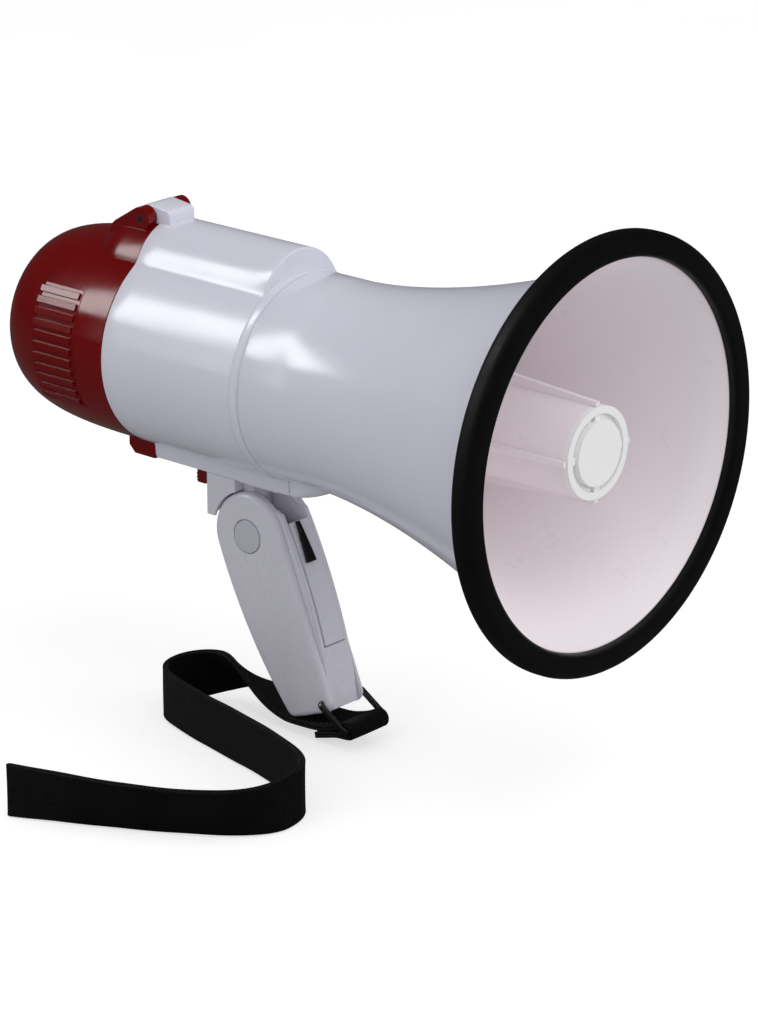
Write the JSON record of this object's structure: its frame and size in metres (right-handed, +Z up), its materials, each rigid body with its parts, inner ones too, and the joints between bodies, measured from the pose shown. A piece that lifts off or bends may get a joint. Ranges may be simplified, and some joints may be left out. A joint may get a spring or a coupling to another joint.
{
  "type": "handheld megaphone",
  "caption": "Handheld megaphone with a flared horn and rubber rim, a hinged rear cap over the battery bay, a folding pistol handle with a long trigger, and a webbing wrist strap.",
  "frame": {"origin": "centre of the rubber rim's flat front face, on the horn's axis", "axes": "+X forward out of the mouth along the horn's axis, +Y to the speaker's left, +Z up"},
  "size_m": [0.2786, 0.2151, 0.2191],
  "materials": {
    "horn_bell": "gloss",
    "rim_bumper": "satin",
    "reflector": "gloss",
    "reflector_cap": "gloss",
    "throat_tube": "matte",
    "driver_gasket": "matte",
    "driver_frame": "matte",
    "driver_top_plate": "zinc plated",
    "driver_magnet": "ferrite",
    "driver_yoke": "zinc plated",
    "driver_screws": "zinc plated",
    "diaphragm": "matte",
    "voice_coil": "enamelled wire",
    "rear_housing": "gloss",
    "housing_screws": "zinc plated",
    "battery_tray": "matte",
    "battery_cells": "printed jacket",
    "front_contacts": "plain",
    "battery_springs": "plated",
    "amplifier_board": "solder mask",
    "amplifier_chip": "matte",
    "heat_sink": "extruded",
    "capacitors": "sleeved",
    "speaker_lead": "insulated",
    "keel_lead": "insulated",
    "hinge_pin": "plain",
    "handle_bracket": "gloss",
    "bracket_screws": "zinc plated",
    "pivot_pin": "plain",
    "release_spring": "plain",
    "fold_release_button": "gloss",
    "rear_cap": "gloss",
    "contact_plate": "matte",
    "rear_contacts": "plain",
    "contact_plate_screws": "zinc plated",
    "microphone_grille": "matte",
    "microphone_capsule": "plain",
    "control_board": "solder mask",
    "volume_control": "matte",
    "mode_switch_body": "matte",
    "volume_knob": "matte",
    "mode_switch": "matte",
    "handle_core": "satin",
    "cheek_right": "gloss",
    "cheek_left": "gloss",
    "pivot_covers": "satin",
    "handle_screws": "zinc plated",
    "trigger": "satin",
    "trigger_pin": "plain",
    "trigger_spring": "plain",
    "trigger_switch": "matte",
    "trigger_lead": "insulated",
    "trigger_lock": "matte",
    "strap_bail": "plated wire",
    "wrist_strap": "woven webbing"
  },
  "bodies": {
    "horn_and_housing": {"horn_bell": "horn_bell", "rim_bumper": "rim_bumper", "reflector": "reflector", "reflector_cap": "reflector_cap", "throat_tube": "throat_tube", "driver_gasket": "driver_gasket", "driver_frame": "driver_frame", "driver_top_plate": "driver_top_plate", "driver_magnet": "driver_magnet", "driver_yoke": "driver_yoke", "driver_screws": "driver_screws", "rear_housing": "rear_housing", "housing_screws": "housing_screws", "battery_tray": "battery_tray", "battery_cells": "battery_cells", "front_contacts": "front_contacts", "battery_springs": "battery_springs", "amplifier_board": "amplifier_board", "amplifier_chip": "amplifier_chip", "heat_sink": "heat_sink", "capacitors": "capacitors", "speaker_lead": "speaker_lead", "keel_lead": "keel_lead", "hinge_pin": "hinge_pin", "handle_bracket": "handle_bracket", "bracket_screws": "bracket_screws", "pivot_pin": "pivot_pin", "release_spring": "release_spring"},
    "diaphragm": {"diaphragm": "diaphragm", "voice_coil": "voice_coil"},
    "cap": {"rear_cap": "rear_cap", "contact_plate": "contact_plate", "rear_contacts": "rear_contacts", "contact_plate_screws": "contact_plate_screws", "microphone_grille": "microphone_grille", "microphone_capsule": "microphone_capsule", "control_board": "control_board", "volume_control": "volume_control", "mode_switch_body": "mode_switch_body"},
    "knob": {"volume_knob": "volume_knob"},
    "mode_slide": {"mode_switch": "mode_switch"},
    "release_button": {"fold_release_button": "fold_release_button"},
    "handle": {"handle_core": "handle_core", "cheek_right": "cheek_right", "cheek_left": "cheek_left", "pivot_covers": "pivot_covers", "handle_screws": "handle_screws", "trigger_pin": "trigger_pin", "trigger_spring": "trigger_spring", "trigger_switch": "trigger_switch", "trigger_lead": "trigger_lead"},
    "trigger": {"trigger": "trigger"},
    "trigger_lock": {"trigger_lock": "trigger_lock"},
    "bail": {"strap_bail": "strap_bail"},
    "strap": {"wrist_strap": "wrist_strap"}
  },
  "joints": [
    {"name": "handle_fold", "type": "hinge", "parent": "horn_and_housing", "child": "handle", "pos_m": [-0.1662, 0, -0.0656], "axis": [0, -1, 0], "range_deg": [0, 60]},
    {"name": "cap_hinge", "type": "hinge", "parent": "horn_and_housing", "child": "cap", "pos_m": [-0.2175, 0, 0.0486], "axis": [0, 1, 0], "range_deg": [0, 100]},
    {"name": "volume_turn", "type": "hinge", "parent": "cap", "child": "knob", "pos_m": [-0.2731, -0.0095, -0.013], "axis": [-1, 0, 0], "range_deg": [-135, 135]},
    {"name": "mode_slide", "type": "slide", "parent": "cap", "child": "mode_slide", "axis": [0, 0, 1], "range_m": [0, 0.0038]},
    {"name": "release_press", "type": "slide", "parent": "horn_and_housing", "child": "release_button", "axis": [1, 0, 0], "range_m": [0, 0.0025], "deforming": ["release_spring"]},
    {"name": "trigger_pull", "type": "hinge", "parent": "handle", "child": "trigger", "pos_m": [-0.13714, 0, -0.10095], "axis": [0, -1, 0], "range_deg": [0, 3.5], "deforming": ["trigger_spring"]},
    {"name": "lock_slide", "type": "slide", "parent": "trigger", "child": "trigger_lock", "axis": [0.4384, 0, -0.8988], "range_m": [0, 0.003]},
    {"name": "diaphragm_move", "type": "slide", "parent": "horn_and_housing", "child": "diaphragm", "axis": [1, 0, 0], "range_m": [-0.0003, 0.0003]},
    {"name": "bail_swing", "type": "hinge", "parent": "handle", "child": "bail", "pos_m": [-0.1288, 0, -0.123], "axis": [0, -1, 0], "range_deg": [0, 25]},
    {"name": "strap_swing", "type": "hinge", "parent": "bail", "child": "strap", "pos_m": [-0.1163, 0, -0.131], "axis": [0, -1, 0], "range_deg": [0, 15]}
  ]
}
